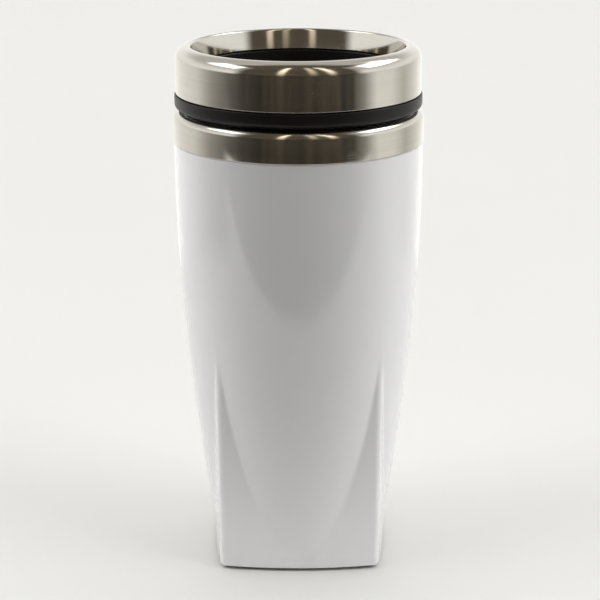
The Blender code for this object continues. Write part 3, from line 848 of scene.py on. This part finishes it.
def steel(name, light, dark, roughness, lines, wear):
    """Stainless steel with fine lines round the mug, smudges, scratches and small pits."""
    paint = Paint(name)
    place = paint.object_place()
    parts = paint.add("ShaderNodeSeparateXYZ", {0: place}).outputs
    radius = paint.math("SQRT", paint.math("ADD", paint.math("MULTIPLY", parts[0], parts[0]),
                                           paint.math("MULTIPLY", parts[1], parts[1])))
    along = paint.math("SUBTRACT", parts[2], radius)
    lathe = paint.add("ShaderNodeCombineXYZ", {0: parts[0], 1: parts[1], 2: along}).outputs[0]
    fine = paint.noise(paint.stretch(lathe, (14.0, 14.0, 5200.0)), 1.0, detail=3.0, roughness=0.65)
    coarse = paint.noise(paint.stretch(lathe, (9.0, 9.0, 900.0)), 1.0, detail=3.0)
    smudge = paint.remap(paint.noise(place, 55.0, detail=5.0, distortion=0.6), 0.38, 0.72)
    first = paint.scratches(place, (55.0, 55.0, 1500.0), (0.12, 0.10, 0.3), 0.02, wear)
    second = paint.scratches(place, (1300.0, 1300.0, 60.0), (0.7, -0.5, 0.1), 0.014, wear * 0.8)
    marks = paint.math("MAXIMUM", first, second)
    pits = paint.specks(place, 170.0, 0.05, 0.035)
    colour = paint.blend(coarse, light, dark)
    colour = paint.blend(paint.math("MULTIPLY", smudge, 0.25), colour, dark)
    colour = paint.blend(pits, colour, (0.10, 0.07, 0.05))
    rough = paint.math("ADD", paint.math("MULTIPLY", fine, lines), roughness)
    rough = paint.math("ADD", rough, paint.math("MULTIPLY", smudge, 0.06))
    rough = paint.math("ADD", rough, paint.math("MULTIPLY", marks, 0.15))
    tangent = paint.add("ShaderNodeTangent", direction_type="RADIAL", axis="Z").outputs[0]
    paint.surface(Base_Color=colour, Metallic=1.0, Roughness=rough, Anisotropic=0.45,
                  Anisotropic_Rotation=0.25, Tangent=tangent)
    height = paint.math("MULTIPLY", fine, lines * 2.0)
    height = paint.math("ADD", height, paint.math("MULTIPLY", coarse, 0.25))
    height = paint.math("SUBTRACT", height, paint.math("MULTIPLY", marks, 0.7))
    height = paint.math("SUBTRACT", height, paint.math("MULTIPLY", pits, 2.0))
    paint.bump(height, 0.000006)
    return paint.material


def satin_black(name, roughness, grain):
    """Black moulded plastic with fine grain, handling marks and a little dust."""
    paint = Paint(name)
    place = paint.object_place()
    cloud = paint.noise(place, 60.0, detail=4.0)
    colour = paint.blend(cloud, (0.0035, 0.0033, 0.0032), (0.0075, 0.007, 0.0068))
    dust = paint.specks(place, 420.0, 0.09, 0.05)
    colour = paint.blend(paint.math("MULTIPLY", dust, 0.5), colour, (0.16, 0.155, 0.15))
    marks = paint.scratches(place, (90.0, 90.0, 1200.0), (0.6, 0.2, 0.0), 0.016, 0.42)
    colour = paint.blend(paint.math("MULTIPLY", marks, 0.2), colour, (0.06, 0.06, 0.06))
    texture = paint.noise(place, grain, detail=3.0, roughness=0.6)
    rough = paint.math("ADD", paint.math("MULTIPLY", cloud, 0.12), roughness)
    rough = paint.math("ADD", rough, paint.math("MULTIPLY", marks, 0.1))
    paint.surface(Base_Color=colour, Roughness=rough, Specular_IOR_Level=0.25)
    paint.bump(paint.math("SUBTRACT", texture, paint.math("MULTIPLY", marks, 0.4)), 0.00002)
    return paint.material


def soft_rubber(name, colour, worn, roughness, grain):
    """Rubber or silicone: matt, slightly cloudy, with a fine moulded grain and dust."""
    paint = Paint(name)
    place = paint.object_place()
    cloud = paint.noise(place, 90.0, detail=5.0)
    shade = paint.blend(paint.remap(cloud, 0.35, 0.75), colour, worn)
    dust = paint.specks(place, 500.0, 0.10, 0.08)
    shade = paint.blend(paint.math("MULTIPLY", dust, 0.5), shade, (0.25, 0.24, 0.23))
    rough = paint.math("ADD", paint.math("MULTIPLY", cloud, 0.15), roughness)
    paint.surface(Base_Color=shade, Roughness=rough)
    paint.bump(paint.noise(place, grain, detail=2.0), 0.00003)
    return paint.material


# ---------------------------------------------------------------- floor, light and camera

def surroundings(paint, azimuth):
    """What a reflection sees low down in each direction: a dark room in front, pale elsewhere."""
    turn = paint.add("ShaderNodeMath", {0: azimuth, 1: 1.0 / math.tau, 2: 0.5}, operation="MULTIPLY_ADD")
    ramp = paint.add("ShaderNodeValToRGB", {0: turn.outputs[0]})
    elements = ramp.color_ramp.elements
    while len(elements) < len(HORIZON):
        elements.new(0.5)
    for element, (degrees, colour) in zip(elements, HORIZON):
        element.position = degrees / 360.0 + 0.5
        element.color = (*colour, 1.0)
    bands = paint.noise(paint.add("ShaderNodeCombineXYZ", {0: azimuth}).outputs[0], 9.0, detail=3.0)
    inner, outer = [math.radians(half) for half in HORIZON_BANDS]
    room = paint.remap(paint.math("ABSOLUTE", azimuth), inner, outer, 1.0, 0.0)
    dark = paint.math("MULTIPLY", room, paint.remap(bands, 0.62, 0.38))
    return paint.blend(dark, ramp.outputs[0], HORIZON_BAND)


def sector(paint, azimuth, middle, inner, outer):
    """Mask of the directions in a sector, given in degrees."""
    aside = paint.math("ABSOLUTE", paint.math("SUBTRACT", azimuth, math.radians(middle)))
    return paint.remap(aside, math.radians(inner), math.radians(outer), 1.0, 0.0)


def make_floor():
    """Pale floor to the camera; soft rays see painted shade on it in front, and mirror rays see a painted
    reflection of the dark room beyond its edges.
    """
    paint = Paint("floor")
    place = paint.object_place()
    grain = paint.noise(place, 9.0, detail=4.0)
    pale = paint.blend(grain, FLOOR_PALE, FLOOR_PALER)
    parts = paint.add("ShaderNodeSeparateXYZ", {0: place}).outputs
    azimuth = paint.math("ARCTAN2", parts[0], paint.math("MULTIPLY", parts[1], -1.0))
    away = paint.add("ShaderNodeVectorMath", {0: place}, operation="LENGTH").outputs["Value"]
    rays = paint.add("ShaderNodeLightPath").outputs
    forward = paint.math("MULTIPLY", parts[1], -1.0)
    front = sector(paint, azimuth, *FLOOR_FRONT)
    # Painted reflection: beyond these edges mirror rays see the dark room's surroundings painted on the
    # floor.
    painted_reflection_mask = paint.add("ShaderNodeMix", {0: front, 2: paint.remap(away, *FLOOR_SIDE_EDGE),
                                              3: paint.remap(forward, *FLOOR_FRONT_EDGE)}).outputs[0]
    painted_reflection_mask = paint.math("MULTIPLY", painted_reflection_mask, rays["Is Glossy Ray"])
    # Painted shade: soft rays see the floor dark in front, standing in for the light that the dark room
    # does not give.
    room = sector(paint, azimuth, *SOFT_ROOM)
    room = paint.math("MULTIPLY", room, paint.remap(away, *FLOOR_SOFT_EDGE))
    painted_shade_mask = paint.math("MULTIPLY", room, rays["Is Diffuse Ray"])
    colour = paint.blend(painted_shade_mask, pale, FLOOR_PAINTED_SHADE)
    paint.surface(Base_Color=paint.blend(painted_reflection_mask, colour, surroundings(paint, azimuth)), Roughness=0.6)
    output = paint.tree.nodes["Material Output"]
    seen_through = paint.add("ShaderNodeBsdfTransparent").outputs[0]
    below = paint.add("ShaderNodeNewGeometry").outputs["Backfacing"]
    close = paint.math("LESS_THAN", rays["Ray Length"], FLOOR_CLEAR)
    below = paint.math("MAXIMUM", below, close)
    mix = paint.add("ShaderNodeMixShader", {0: below, 1: paint.shader.outputs[0], 2: seen_through})
    paint.tree.links.new(mix.outputs[0], output.inputs["Surface"])
    mesh = bpy.data.meshes.new("floor")
    corners = [(x * FLOOR_HALF, y * FLOOR_HALF) for x, y in ((-1, -1), (1, -1), (1, 1), (-1, 1))]
    mesh.from_pydata([(x, y, -FLOOR_DROP) for x, y in corners], [], [(0, 1, 2, 3)])
    mesh.materials.append(paint.material)
    floor = bpy.data.objects.new("floor", mesh)
    bpy.context.scene.collection.objects.link(floor)


def make_world():
    """Soft studio light; camera, mirror and soft rays each see their own surroundings."""
    world = bpy.data.worlds.new("studio")
    world.use_nodes = True
    world.cycles.sampling_method = "NONE"
    bpy.context.scene.world = world
    paint = Nodes(world.node_tree)
    background = paint.tree.nodes["Background"]
    direction = paint.add("ShaderNodeTexCoord").outputs["Generated"]
    parts = paint.add("ShaderNodeSeparateXYZ", {0: direction}).outputs
    azimuth = paint.math("ARCTAN2", parts[0], paint.math("MULTIPLY", parts[1], -1.0))
    rise = parts[2]
    low = surroundings(paint, azimuth)
    pale = paint.blend(paint.remap(rise, *UPPER_DULL_RISE), UPPER_PALE, UPPER_DULL)
    upper = paint.blend(sector(paint, azimuth, *MIRROR_ROOM), pale, MIRROR_ROOM_COLOUR)
    mirrored = paint.blend(paint.remap(rise, *UPPER_RISE), low, upper)
    mirrored = paint.blend(paint.remap(rise, *OVERHEAD_RISE), mirrored, OVERHEAD)
    in_front = paint.remap(parts[1], *CEILING_EDGE)
    ceiling = paint.math("MULTIPLY", paint.remap(rise, *CEILING_RISE), in_front)
    mirrored = paint.blend(ceiling, mirrored, CEILING)
    for middle, half, bottom, strength in SOFT_BOXES:
        box = sector(paint, azimuth, middle, half - BOX_EDGE, half)
        box = paint.math("MULTIPLY", box, paint.remap(rise, bottom, bottom + BOX_FADE))
        box = paint.math("MULTIPLY", box, paint.remap(rise, *BOX_TOP, 1.0, 0.0))
        mirrored = paint.blend(box, mirrored, (strength, strength, strength * 0.98))
    for middle, strength in LAMPS:
        lamp = sector(paint, azimuth, middle, *LAMP_WIDTH)
        lamp = paint.math("MULTIPLY", lamp, paint.remap(rise, *LAMP_RISE))
        lamp = paint.math("MULTIPLY", lamp, paint.remap(rise, *LAMP_TOP, 1.0, 0.0))
        mirrored = paint.blend(lamp, mirrored, (strength, strength * 0.88, strength * 0.66))

    sides = paint.blend(sector(paint, azimuth, *SOFT_ROOM), SIDE_LIGHT, ROOM_LIGHT)
    for *panel_sector, strength in SOFT_PANELS:
        panel = sector(paint, azimuth, *panel_sector)
        sides = paint.blend(panel, sides, (strength, strength, strength))
    soft = paint.blend(paint.remap(rise, *TOP_RISE), sides, TOP_LIGHT)
    rays = paint.add("ShaderNodeLightPath").outputs
    light = paint.blend(rays["Is Glossy Ray"], soft, mirrored)
    paint.feed(background.inputs["Color"], paint.blend(rays["Is Camera Ray"], light, BACKDROP))
    background.inputs["Strength"].default_value = 1.0


def make_camera():
    """Camera at the object's front, looking a little down."""
    data = bpy.data.cameras.new("camera")
    data.sensor_width = CAMERA_SENSOR
    data.lens = CAMERA_LENS
    data.clip_start = CAMERA_NEAR
    camera = bpy.data.objects.new("camera", data)
    bpy.context.scene.collection.objects.link(camera)
    camera.location = CAMERA_PLACE
    camera.rotation_mode = "XZY"
    camera.rotation_euler = (math.radians(90.0 - CAMERA_PITCH), 0.0, 0.0)
    camera.rotation_euler.rotate_axis("Z", math.radians(CAMERA_ROLL))
    bpy.context.scene.camera = camera


def main():
    """Build everything."""
    white = gloss_white()
    black = satin_black("satin_black", 0.34, 900.0)
    silicone = soft_rubber("silicone", (0.035, 0.035, 0.036), (0.06, 0.06, 0.06), 0.42, 700.0)
    rubber = soft_rubber("foot_rubber", (0.018, 0.018, 0.018), (0.05, 0.048, 0.045), 0.7, 1100.0)
    lid_steel = steel("lid_steel", (0.66, 0.64, 0.60), (0.56, 0.535, 0.49), 0.07, 0.03, 0.42)
    collar_steel = steel("collar_steel", (0.64, 0.62, 0.575), (0.53, 0.505, 0.46), 0.09, 0.05, 0.46)
    liner_steel = steel("liner_steel", (0.60, 0.59, 0.57), (0.50, 0.49, 0.47), 0.27, 0.14, 0.36)

    make_shell(white)
    make_pad(rubber)
    make_collar(collar_steel)
    make_liner(liner_steel)
    make_ring(lid_steel)
    make_lid(black)
    make_gasket(silicone)
    make_slider(black)
    kept = {"base_cap": white, "liner_seal": silicone, "slide_clip": black, "slide_seal": silicone}
    for node, material in kept.items():
        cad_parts[node].data.materials.clear()
        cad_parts[node].data.materials.append(material)

    make_floor()
    make_world()
    make_camera()
    bpy.context.scene.view_settings.view_transform = "Standard"


main()
